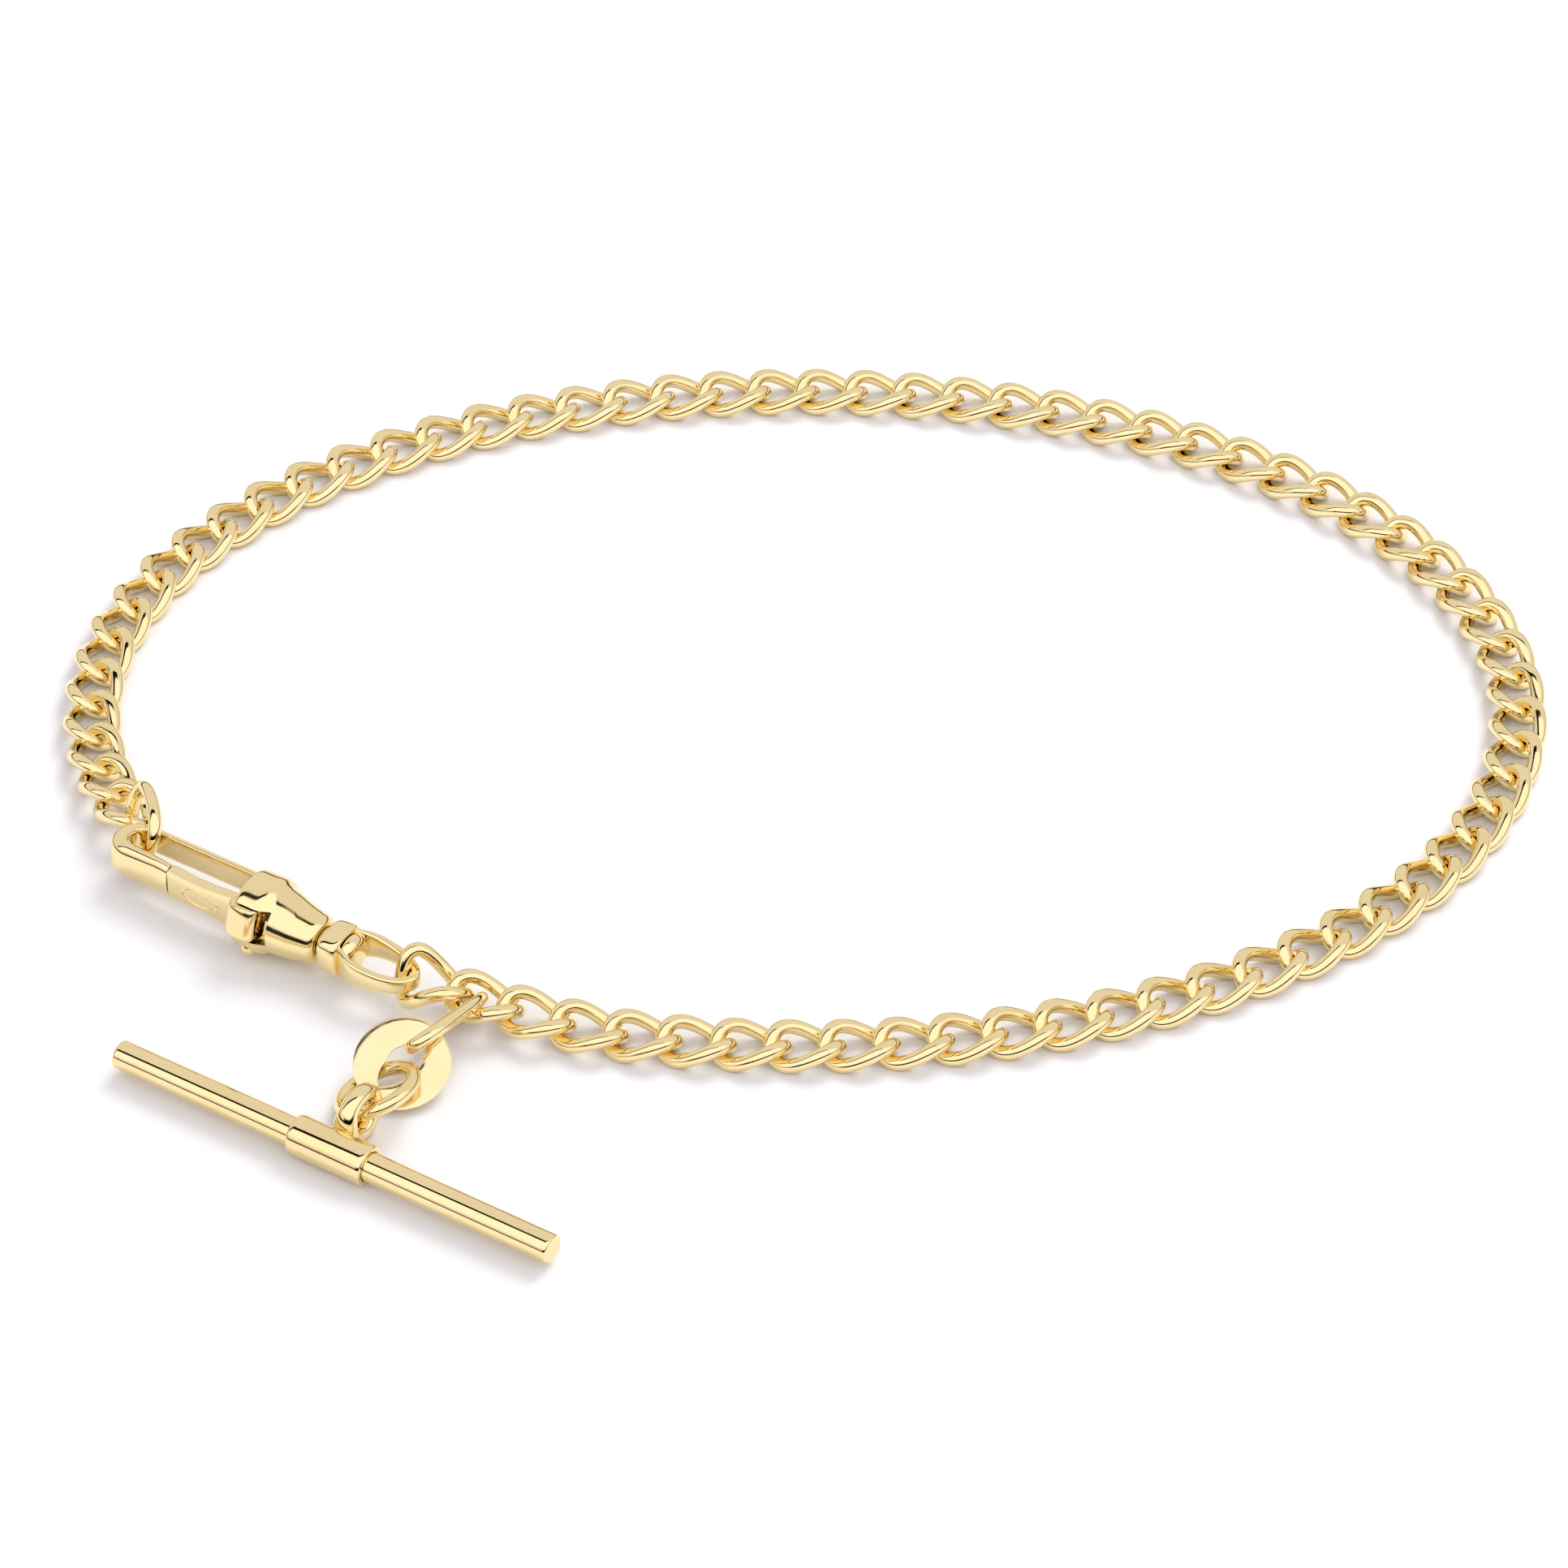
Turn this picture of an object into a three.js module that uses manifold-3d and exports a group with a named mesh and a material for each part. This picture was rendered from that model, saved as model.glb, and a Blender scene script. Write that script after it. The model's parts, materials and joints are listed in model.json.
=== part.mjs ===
// A single-Albert watch chain fastened into a loop: a curb chain, a swivel clip, an end ring held
// by the clip, and a T-bar that hangs from the chain by a ring, an oval tag and a second ring.
// Millimetres, +Z up, everything resting on z = 0, origin at the middle of the base.
import * as THREE from "three";
import { mergeVertices } from "three/addons/utils/BufferGeometryUtils.js";
import Module from "manifold-3d";

const wasm = await Module();
wasm.setup();

const degrees = THREE.MathUtils.degToRad;

// ---- Driving dimensions ----

// The chain lies along an ellipse, from the swivel eye anticlockwise round to the end ring.
const LOOP = { semiX: 44.32, semiY: 31.52, startAngle: degrees(240.4), endAngle: degrees(560.7) };
const LINK_COUNT = 68;
// A pair of links is one solid after each single link, and once more at the end of the chain.
const LINKS_PER_NODE = [...Array(22).fill([1, 2]).flat(), 2];
const LINK = { halfLength: 2.0, halfWidth: 1.39, twist: 0.54, wire: 0.35 };
const CHAIN_HEIGHT = 0.87;
const RAMP = { slope: 0.12, eyeEnd: 2.22, ringEnd: 1.75 };
const EYE_LINK_EXTRA_TWIST = 1.3;
const PAIR_BEAD = 0.3;

// The clip's own frame has x along its axis towards the eye and its zero beside the gate's pin.
const CLIP = { x: -32.6, y: -21.3, height: 2.22, angle: degrees(-32.5) };
const BARREL = { mouth: -0.9, collarEnd: 1.3, radius: 2.45, rise: 0.23, neckRadius: 1.45, length: 4.85 };
const CAVITY = { radius: 1.6, depth: 3.2 };
const HOOK = { strap: 1.82, armEndX: -0.96, outerY: 2.18, innerY: 1.73, lipY: 0.22, lipOuterY: -0.75 };
const HOOK_NOSE = { x: -9.5, slotX: -9.17, lipEndX: -6.1 };
const GATE = { strap: 2.1, block: 2.0, pivotX: 0.55, pivotY: -1.35, pinRadius: 0.22, boreRadius: 0.27 };
const EYE = { start: 5.15, end: 11.6, halfWidth: 1.68, strap: 1.25, collarRadius: 1.35 };
const SWIVEL_PIN = { radius: 0.42, bore: 0.5 };

const END_RING = { x: -40.1, y: -13.8, z: 2.57, radius: 2.24, wire: 0.38 };
const END_RING_NORMAL = new THREE.Vector3(0.902, 0.283, -0.326);

const DROP_RING = { width: 2.6, wire: 0.33, lean: degrees(41.4) };
const DROP_RING_ENDS = { link: [-19.32, -27.92, 1.18], tag: [-22.75, -33.48, 2.78] };
const TAG = { x: -23.5, y: -33.9, z: 1.76, tilt: degrees(30), thickness: 0.32 };
const TAG_SIZE = { halfLength: 2.88, halfWidth: 2.75, holeLength: 2.05, holeWidth: 1.1 };
const BAR_RING = { x: -24.84, y: -35.99, z: 1.54, radius: 2.35, wire: 0.36 };
const BAR_RING_TILT = { aboutX: degrees(-14), aboutY: degrees(-22) };
const BAR = { x: -27.2, y: -40.6, angle: degrees(-32.1), length: 30.4, radius: 0.89, edge: 0.2 };
const SLEEVE = { length: 5.2, radius: 1.23, bore: 0.93, edge: 0.22 };
const BAIL = { reach: 2.72, z: 1.8, radius: 1.28, wire: 0.36 };

const RING_STEPS = 16;
const WIRE_SIDES = 6;
const LINK_STEPS = 12;
const LINK_SIDES = 5;

// ---- Finishes ----

const GOLD = { color: 0xe8cf86, roughness: 0.12, metalness: 1.0 };
const INNER_GOLD = { color: 0xd9b968, roughness: 0.35, metalness: 1.0 };
const STEEL = { color: 0xb9bcc0, roughness: 0.3, metalness: 1.0 };

// ---- Helpers ----

function toSolid(geometry) {
  const bare = geometry.index ? geometry.toNonIndexed() : geometry.clone();
  for (const name of Object.keys(bare.attributes)) {
    if (name !== "position") bare.deleteAttribute(name);
  }
  const merged = mergeVertices(bare, 1e-4);
  const mesh = new wasm.Mesh({
    numProp: 3,
    vertProperties: merged.attributes.position.array,
    triVerts: new Uint32Array(merged.index.array),
  });
  return new wasm.Manifold(mesh);
}

function toGeometry(solid) {
  const mesh = solid.getMesh();
  const geometry = new THREE.BufferGeometry();
  geometry.setAttribute("position", new THREE.BufferAttribute(new Float32Array(mesh.vertProperties), 3));
  geometry.setIndex(new THREE.BufferAttribute(new Uint32Array(mesh.triVerts), 1));
  return geometry;
}

function joined(...geometries) {
  return toGeometry(geometries.map(toSolid).reduce((all, solid) => all.add(solid)));
}

function cut(geometry, ...tools) {
  const start = toSolid(geometry);
  return toGeometry(tools.map(toSolid).reduce((left, tool) => left.subtract(tool), start));
}

function named(name, geometry, finish) {
  const faceted = geometry.index ? geometry.toNonIndexed() : geometry;
  faceted.computeVertexNormals();
  const mesh = new THREE.Mesh(faceted, new THREE.MeshStandardMaterial(finish));
  mesh.name = name;
  return mesh;
}

// A flat outline in the XY plane, thickened evenly above and below it.
function plate(shape, thickness, curveSegments = 8) {
  const options = { depth: thickness, bevelEnabled: false, curveSegments };
  const geometry = new THREE.ExtrudeGeometry(shape, options);
  geometry.translate(0, 0, -thickness / 2);
  return geometry;
}

function block(x0, x1, y0, y1, z0, z1) {
  const geometry = new THREE.BoxGeometry(x1 - x0, y1 - y0, z1 - z0);
  geometry.translate((x0 + x1) / 2, (y0 + y1) / 2, (z0 + z1) / 2);
  return geometry;
}

// A solid turned about the X axis, from points that give the place along X and the radius.
function turned(profile, sides = 20) {
  const points = profile.map(([x, radius]) => new THREE.Vector2(radius, x));
  const geometry = new THREE.LatheGeometry(points, sides);
  geometry.rotateZ(-Math.PI / 2);
  return geometry;
}

function upright(radius, x, y, halfHeight, sides = 12) {
  const geometry = new THREE.CylinderGeometry(radius, radius, 2 * halfHeight, sides);
  geometry.rotateX(Math.PI / 2);
  geometry.translate(x, y, 0);
  return geometry;
}

function closedTube(curve, wire, steps = RING_STEPS, sides = WIRE_SIDES) {
  return new THREE.TubeGeometry(curve, steps, wire, sides, true);
}

// ---- Curb chain ----

const loopPoint = (angle) => [LOOP.semiX * Math.cos(angle), LOOP.semiY * Math.sin(angle)];
const loopSpeed = (angle) => Math.hypot(LOOP.semiX * Math.sin(angle), LOOP.semiY * Math.cos(angle));

// The angles at which equal lengths of the ellipse end, one for each link's middle.
function linkAngles(count) {
  const STEPS = 20000;
  const step = (LOOP.endAngle - LOOP.startAngle) / STEPS;
  const lengths = [0];
  for (let i = 0; i < STEPS; i++) {
    lengths.push(lengths[i] + loopSpeed(LOOP.startAngle + (i + 0.5) * step) * step);
  }
  const pitch = lengths[STEPS] / (count - 1);
  const angles = [];
  for (let i = 0, k = 0; k < count; k++) {
    while (i < STEPS && lengths[i] < k * pitch) i++;
    angles.push(LOOP.startAngle + i * step);
  }
  return { angles, pitch };
}

const { angles, pitch: PITCH } = linkAngles(LINK_COUNT);

// Height of the chain's middle at a place counted in links, raised where its ends meet the
// swivel eye and the end ring.
function chainHeight(place) {
  const fromEye = RAMP.eyeEnd - RAMP.slope * PITCH * (place + 0.33);
  const fromRing = RAMP.ringEnd - RAMP.slope * PITCH * (LINK_COUNT - 0.5 - place);
  return Math.max(CHAIN_HEIGHT, fromEye, fromRing);
}

class CurbLinkCurve extends THREE.Curve {
  constructor(index) {
    super();
    this.index = index;
  }
  getPoint(t, target = new THREE.Vector3()) {
    const turn = 2 * Math.PI * t;
    const along = Math.cos(turn);
    const before = chainHeight(this.index - 0.5);
    const after = chainHeight(this.index + 0.5);
    const middle = (before + after) / 2 + ((after - before) / PITCH) * LINK.halfLength * along;
    const extra = this.index === 0 ? (EYE_LINK_EXTRA_TWIST * (1 - along)) / 2 : 0;
    const height = middle - (LINK.twist + extra) * Math.sin(2 * turn);
    const angle = angles[this.index];
    const [x, y] = loopPoint(angle);
    const direction = Math.atan2(LOOP.semiY * Math.cos(angle), -LOOP.semiX * Math.sin(angle));
    target.set(LINK.halfLength * along, LINK.halfWidth * Math.sin(turn), 0);
    target.applyAxisAngle(new THREE.Vector3(0, 0, 1), direction);
    return target.add(new THREE.Vector3(x, y, height));
  }
}

const linkGeometry = (index) => closedTube(new CurbLinkCurve(index), LINK.wire, LINK_STEPS, LINK_SIDES);

// Small beads where two neighbouring wires cross make a pair of links one solid.
function pairGeometry(index) {
  const crossings = [0.1, -0.1].map((t) => {
    const here = new CurbLinkCurve(index).getPoint(t);
    const there = new CurbLinkCurve(index + 1).getPoint(0.5 - t);
    const bead = new THREE.OctahedronGeometry(PAIR_BEAD);
    return bead.translate(...here.add(there).multiplyScalar(0.5).toArray());
  });
  return joined(linkGeometry(index), linkGeometry(index + 1), ...crossings);
}

function curbChain() {
  const chain = new THREE.Group();
  let first = 0;
  LINKS_PER_NODE.forEach((count, i) => {
    const number = String(i + 1).padStart(2, "0");
    const name = count === 1 ? `curb_link_${number}` : `curb_pair_${number}`;
    const geometry = count === 1 ? linkGeometry(first) : pairGeometry(first);
    chain.add(named(name, geometry, GOLD));
    first += count;
  });
  return chain;
}

// ---- Swivel clip ----

// The collar is fuller than the cone behind it and lies on the surface, so its middle is a little
// higher than the cone's.
function barrelGeometry() {
  const { mouth, collarEnd, radius, rise, neckRadius, length } = BARREL;
  const profile = [
    [mouth, CAVITY.radius],
    [mouth, radius - 0.2],
    [mouth + 0.2, radius],
    [collarEnd, radius],
    [1.65, 2.2],
    [2.2, 2.08],
    [length - 0.35, neckRadius],
    [length, 1.2],
    [length, SWIVEL_PIN.bore],
    [CAVITY.depth, SWIVEL_PIN.bore],
    [CAVITY.depth, CAVITY.radius],
    [mouth, CAVITY.radius],
  ];
  const shell = turned(profile, 24);
  const places = shell.getAttribute("position");
  for (let i = 0; i < places.count; i++) {
    const share = (CAVITY.depth - places.getX(i)) / (CAVITY.depth - collarEnd);
    places.setZ(i, places.getZ(i) + rise * THREE.MathUtils.clamp(share, 0, 1));
  }
  const gateNotch = block(mouth - 0.3, 2.0, -2.9, -0.6, -1.1, 1.1);
  const pinHole = upright(GATE.boreRadius, GATE.pivotX, GATE.pivotY, 3);
  return cut(shell, gateNotch, pinHole);
}

function hookGeometry() {
  const { armEndX, outerY, innerY, lipY, lipOuterY } = HOOK;
  const { x, slotX, lipEndX } = HOOK_NOSE;
  const outline = new THREE.Shape();
  outline.moveTo(armEndX, 0.9);
  outline.lineTo(armEndX, outerY);
  outline.lineTo(x, outerY);
  outline.absarc(x, (outerY + lipOuterY) / 2, (outerY - lipOuterY) / 2, Math.PI / 2, 1.5 * Math.PI, false);
  outline.lineTo(lipEndX, -0.85);
  outline.lineTo(lipEndX, -0.2);
  outline.lineTo(slotX, lipY);
  outline.absarc(slotX, (innerY + lipY) / 2, (innerY - lipY) / 2, 1.5 * Math.PI, Math.PI / 2, true);
  outline.lineTo(armEndX - 0.44, innerY);
  outline.lineTo(armEndX - 0.44, 0.9);
  const tongue = block(armEndX - 0.34, 1.2, 0.92, 1.32, -0.4, 0.4);
  return joined(plate(outline, HOOK.strap), tongue);
}

function gateGeometry() {
  const lever = new THREE.Shape();
  lever.moveTo(-6.0, -0.85);
  lever.lineTo(-1.0, -0.95);
  lever.lineTo(-1.0, -0.35);
  lever.lineTo(-6.0, -0.2);
  const thumb = new THREE.Shape();
  thumb.moveTo(-1.5, -0.95);
  thumb.lineTo(-0.9, -1.95);
  thumb.lineTo(-0.5, -2.1);
  thumb.lineTo(1.3, -2.1);
  thumb.lineTo(1.45, -1.3);
  thumb.lineTo(1.2, -0.8);
  thumb.lineTo(-0.4, -0.7);
  thumb.lineTo(-1.2, -0.36);
  thumb.lineTo(-1.5, -0.4);
  const pinHole = upright(GATE.boreRadius, GATE.pivotX, GATE.pivotY, 3);
  return cut(joined(plate(lever, GATE.strap), plate(thumb, GATE.block)), pinHole);
}

function eyeGeometry() {
  const { start, end, halfWidth } = EYE;
  const outline = new THREE.Shape();
  outline.moveTo(start + 0.1, -1.25);
  outline.bezierCurveTo(start + 1.2, -1.35, 6.8, -halfWidth, 7.9, -halfWidth);
  outline.bezierCurveTo(10.0, -halfWidth, end, -1.0, end, 0);
  outline.bezierCurveTo(end, 1.0, 10.0, halfWidth, 7.9, halfWidth);
  outline.bezierCurveTo(6.8, halfWidth, start + 1.2, 1.35, start + 0.1, 1.25);
  const strapWall = 0.45;
  const opening = new THREE.Path();
  opening.moveTo(6.6, -1.1);
  opening.bezierCurveTo(7.0, strapWall - halfWidth, 7.3, strapWall - halfWidth, 7.9, strapWall - halfWidth);
  opening.bezierCurveTo(9.8, strapWall - halfWidth, end - strapWall, -0.75, end - strapWall, 0);
  opening.bezierCurveTo(end - strapWall, 0.75, 9.8, halfWidth - strapWall, 7.9, halfWidth - strapWall);
  opening.bezierCurveTo(7.3, halfWidth - strapWall, 7.0, halfWidth - strapWall, 6.6, 1.1);
  outline.holes.push(opening);
  const collar = turned([
    [start, 0],
    [start, EYE.collarRadius - 0.2],
    [start + 0.2, EYE.collarRadius],
    [6.5, EYE.collarRadius],
    [6.5, 0],
  ]);
  const bore = turned([[4.5, 0], [4.5, SWIVEL_PIN.bore], [7, SWIVEL_PIN.bore], [7, 0]], 16);
  return cut(joined(plate(outline, EYE.strap, 6), collar), bore);
}

function swivelPinGeometry() {
  const profile = [
    [2.6, 0],
    [2.6, 0.95],
    [3.1, 0.95],
    [3.1, SWIVEL_PIN.radius],
    [6.7, SWIVEL_PIN.radius],
    [6.7, 0.95],
    [7.1, 0.95],
    [7.5, 0.6],
    [7.6, 0],
  ];
  return turned(profile, 16);
}

function washerGeometry() {
  const profile = [[4.9, SWIVEL_PIN.bore], [4.9, 1.0], [5.1, 1.0], [5.1, SWIVEL_PIN.bore]];
  return turned([...profile, profile[0]], 20);
}

// The leaf spring runs from the cavity's far wall to just behind the gate's tail.
function springGeometry() {
  const leaf = new THREE.Shape();
  leaf.moveTo(2.4, 0.85);
  leaf.lineTo(2.3, 0.95);
  leaf.quadraticCurveTo(1.2, 0.5, 0.2, -0.15);
  leaf.lineTo(0.25, -0.27);
  leaf.quadraticCurveTo(1.3, 0.35, 2.4, 0.85);
  return plate(leaf, 0.7, 4);
}

function swivelClip() {
  const clip = new THREE.Group();
  clip.position.set(CLIP.x, CLIP.y, CLIP.height);
  clip.rotation.z = CLIP.angle;
  clip.add(
    named("clip_barrel", barrelGeometry(), GOLD),
    named("clip_hook", hookGeometry(), GOLD),
    named("clip_gate", gateGeometry(), GOLD),
    named("gate_pin", upright(GATE.pinRadius, GATE.pivotX, GATE.pivotY, 1.85, 12), GOLD),
    named("gate_spring", springGeometry(), STEEL),
    named("swivel_pin", swivelPinGeometry(), GOLD),
    named("swivel_washer", washerGeometry(), INNER_GOLD),
    named("swivel_eye", eyeGeometry(), GOLD),
  );
  return clip;
}

// ---- Rings and tag ----

// A ring of wire whose two ends are half circles of the given width, in its own XY plane.
class OvalCurve extends THREE.Curve {
  constructor(length, width) {
    super();
    this.radius = width / 2;
    this.straight = length - width;
  }
  getPoint(t, target = new THREE.Vector3()) {
    const arc = Math.PI * this.radius;
    let run = (((t % 1) + 1) % 1) * 2 * (arc + this.straight);
    const side = run < arc + this.straight ? 1 : -1;
    if (side < 0) run -= arc + this.straight;
    const turn = Math.min(run, arc) / this.radius - Math.PI / 2;
    const back = Math.max(run - arc, 0);
    const x = this.straight / 2 + this.radius * Math.cos(turn) - back;
    return target.set(side * x, side * this.radius * Math.sin(turn), 0);
  }
}

const roundRing = ({ radius, wire }) => closedTube(new OvalCurve(2 * radius, 2 * radius), wire);

function endRing() {
  const ring = named("end_ring", roundRing(END_RING), GOLD);
  ring.position.set(END_RING.x, END_RING.y, END_RING.z);
  ring.quaternion.setFromUnitVectors(new THREE.Vector3(0, 0, 1), END_RING_NORMAL.clone().normalize());
  return ring;
}

// The drop ring runs between the second link's opening and the tag's opening, leaning from upright.
function dropRing() {
  const linkEnd = new THREE.Vector3(...DROP_RING_ENDS.link);
  const tagEnd = new THREE.Vector3(...DROP_RING_ENDS.tag);
  const along = linkEnd.clone().sub(tagEnd);
  const loop = closedTube(new OvalCurve(along.length(), DROP_RING.width), DROP_RING.wire, 20);
  const ring = named("drop_ring", loop, GOLD);
  along.normalize();
  const across = new THREE.Vector3(-along.y, along.x, 0).normalize();
  across.applyAxisAngle(along, DROP_RING.lean);
  const up = along.clone().cross(across);
  ring.quaternion.setFromRotationMatrix(new THREE.Matrix4().makeBasis(along, up, across.negate()));
  ring.position.copy(linkEnd).add(tagEnd).multiplyScalar(0.5);
  return ring;
}

function ovalTag() {
  const slant = Math.PI / 4;
  const outline = new THREE.Shape();
  outline.absellipse(0, 0, TAG_SIZE.halfLength, TAG_SIZE.halfWidth, 0, 2 * Math.PI, false, slant);
  const opening = new THREE.Path();
  opening.absellipse(0, 0, TAG_SIZE.holeLength, TAG_SIZE.holeWidth, 0, 2 * Math.PI, true, slant);
  outline.holes.push(opening);
  const tag = named("oval_tag", plate(outline, TAG.thickness, 12), GOLD);
  tag.position.set(TAG.x, TAG.y, TAG.z);
  tag.rotation.x = TAG.tilt;
  return tag;
}

function barRing() {
  const ring = named("bar_ring", roundRing(BAR_RING), GOLD);
  ring.position.set(BAR_RING.x, BAR_RING.y, BAR_RING.z);
  ring.rotation.set(BAR_RING_TILT.aboutX, BAR_RING_TILT.aboutY, 0);
  return ring;
}

// ---- T-bar ----

function roundedRod(length, radius, edge, sides) {
  const half = length / 2;
  const profile = [[-half, 0], [-half, radius - edge], [-half + edge, radius]];
  const mirrored = profile.map(([x, r]) => [-x, r]).reverse();
  return turned([...profile, ...mirrored], sides);
}

function sleeveGeometry() {
  const bore = turned([[-5, 0], [-5, SLEEVE.bore], [5, SLEEVE.bore], [5, 0]], 16);
  return cut(roundedRod(SLEEVE.length, SLEEVE.radius, SLEEVE.edge, 20), bore);
}

// The bail's loop faces along the bar. Its inner side is hollowed to sit on the sleeve.
function bailGeometry() {
  const loop = roundRing(BAIL);
  loop.rotateY(Math.PI / 2);
  loop.translate(0, BAIL.reach, BAIL.z - SLEEVE.radius);
  const seat = turned([[-3, 0], [-3, SLEEVE.radius + 0.02], [3, SLEEVE.radius + 0.02], [3, 0]], 20);
  return cut(loop, seat);
}

function tBar() {
  const bar = new THREE.Group();
  bar.position.set(BAR.x, BAR.y, SLEEVE.radius);
  bar.rotation.z = BAR.angle;
  bar.add(
    named("t_bar_rod", roundedRod(BAR.length, BAR.radius, BAR.edge, 16), GOLD),
    named("t_bar_sleeve", sleeveGeometry(), GOLD),
    named("t_bar_bail", bailGeometry(), GOLD),
  );
  return bar;
}

// ---- Assembly ----

const assembly = new THREE.Group();
assembly.add(curbChain(), swivelClip(), endRing(), dropRing(), ovalTag(), barRing(), tBar());
const extent = new THREE.Box3().setFromObject(assembly, true);
const middle = extent.getCenter(new THREE.Vector3());
assembly.position.set(-middle.x, -middle.y, -extent.min.z);

export default assembly;
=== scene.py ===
"""A gold curb watch chain fastened by its swivel clip, with a T-bar hung on two rings and a tag.

Sizes are in millimetres and turned into metres where a piece is made. Each sub-assembly is a class
whose fields are its sizes. The clip's own frame has x along its axis towards the eye, y towards the
hook's fixed arm and z up, with its zero just inside the barrel's mouth.
"""
from __future__ import annotations

import json
import logging
import math
from dataclasses import dataclass, field
from enum import Enum
from typing import Any, Callable, Sequence, Union

import bmesh
import bpy
from mathutils import Matrix, Vector


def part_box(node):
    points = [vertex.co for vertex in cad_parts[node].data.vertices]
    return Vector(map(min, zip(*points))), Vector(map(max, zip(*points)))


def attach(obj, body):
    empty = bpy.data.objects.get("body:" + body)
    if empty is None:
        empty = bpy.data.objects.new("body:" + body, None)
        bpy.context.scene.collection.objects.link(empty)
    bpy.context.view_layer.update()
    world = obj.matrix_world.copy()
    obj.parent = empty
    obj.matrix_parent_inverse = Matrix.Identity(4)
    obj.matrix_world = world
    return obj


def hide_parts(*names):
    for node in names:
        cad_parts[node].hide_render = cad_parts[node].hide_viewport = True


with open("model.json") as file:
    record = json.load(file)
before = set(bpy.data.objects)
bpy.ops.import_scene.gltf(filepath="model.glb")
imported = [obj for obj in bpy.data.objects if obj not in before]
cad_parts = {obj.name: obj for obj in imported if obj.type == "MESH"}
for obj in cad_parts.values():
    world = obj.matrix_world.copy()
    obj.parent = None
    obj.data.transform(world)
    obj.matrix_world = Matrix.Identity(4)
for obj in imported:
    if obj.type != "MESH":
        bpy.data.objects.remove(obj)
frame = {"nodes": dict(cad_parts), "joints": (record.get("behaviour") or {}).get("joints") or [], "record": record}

MM = 0.001
EDGE_ANGLE = 34.0
log = logging.getLogger("watch_chain")

Point2 = tuple[float, float]
Corner = tuple[float, float, float]
Colour = tuple[float, float, float]
Number = Union[float, "Varying"]


class Slot(Enum):
    """The record's material slots."""

    POLISHED = "gold_polished"
    MATT = "gold_matt"
    STEEL = "spring_steel"


# ---- Shader graphs ----


class Varying:
    """A number that varies over a surface. Arithmetic on it adds Math nodes."""

    def __init__(self, graph: "Graph", socket: bpy.types.NodeSocket) -> None:
        """Keeps the graph and the socket that gives the number."""
        self.graph = graph
        self.socket = socket

    def _math(self, operation: str, first: Number, second: Number) -> "Varying":
        """Adds one Math node.

        Args:
            operation: the Math node's operation.
            first: its first value.
            second: its second value.

        Returns:
            The node's result.
        """
        node = self.graph.add("ShaderNodeMath", {"operation": operation}, {0: first, 1: second})
        return Varying(self.graph, node.outputs[0])

    def __add__(self, other: Number) -> "Varying":
        """Sum."""
        return self._math("ADD", self, other)

    def __radd__(self, other: Number) -> "Varying":
        """Sum with a plain number first."""
        return self._math("ADD", other, self)

    def __sub__(self, other: Number) -> "Varying":
        """Difference."""
        return self._math("SUBTRACT", self, other)

    def __rsub__(self, other: Number) -> "Varying":
        """Difference from a plain number."""
        return self._math("SUBTRACT", other, self)

    def __mul__(self, other: Number) -> "Varying":
        """Product."""
        return self._math("MULTIPLY", self, other)

    def __rmul__(self, other: Number) -> "Varying":
        """Product with a plain number first."""
        return self._math("MULTIPLY", other, self)

    def __abs__(self) -> "Varying":
        """Size without sign."""
        return self._math("ABSOLUTE", self, 0.0)

    def larger(self, other: Number) -> "Varying":
        """The larger of two."""
        return self._math("MAXIMUM", self, other)

    def ramp(self, low: float, high: float) -> "Varying":
        """Rises smoothly from 0 at low to 1 at high.

        Args:
            low: where the rise starts.
            high: where it ends.

        Returns:
            The share, from 0 to 1.
        """
        settings = {"interpolation_type": "SMOOTHSTEP"}
        node = self.graph.add("ShaderNodeMapRange", settings, {"Value": self, 1: low, 2: high})
        return Varying(self.graph, node.outputs[0])


class Graph:
    """A node tree to which nodes are added one at a time."""

    def __init__(self, tree: bpy.types.NodeTree) -> None:
        """Empties the tree."""
        self.tree = tree
        tree.nodes.clear()

    def add(self, kind: str, settings: dict[str, Any], inputs: dict[Any, Any]) -> bpy.types.Node:
        """Adds a node.

        Args:
            kind: the node's type.
            settings: its own properties, set first.
            inputs: a plain value, a socket or a Varying for each input, by name or number.

        Returns:
            The node.
        """
        node = self.tree.nodes.new(kind)
        for name, value in settings.items():
            setattr(node, name, value)
        for key, value in inputs.items():
            socket = value.socket if isinstance(value, Varying) else value
            if isinstance(socket, bpy.types.NodeSocket):
                self.tree.links.new(socket, node.inputs[key])
            else:
                node.inputs[key].default_value = socket
        return node

    def noise(self, place: bpy.types.NodeSocket, scale: float, detail: float = 2.0) -> Varying:
        """Soft random variation.

        Args:
            place: the coordinates.
            scale: how many features there are in a unit.
            detail: how fine its layers go.

        Returns:
            A number round 0.5.
        """
        node = self.add("ShaderNodeTexNoise", {}, {"Vector": place, "Scale": scale, "Detail": detail})
        return Varying(self, node.outputs[0])

    def blend(self, share: Number, first: Any, second: Any) -> bpy.types.NodeSocket:
        """Mixes two colours.

        Args:
            share: how much of the second, from 0 to 1.
            first: a colour or a socket.
            second: a colour or a socket.

        Returns:
            The mixed colour.
        """
        first, second = ((*c, 1.0) if isinstance(c, tuple) else c for c in (first, second))
        node = self.add("ShaderNodeMix", {"data_type": "RGBA"}, {0: share, 6: first, 7: second})
        return node.outputs[2]


# ---- Finishes ----


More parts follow.
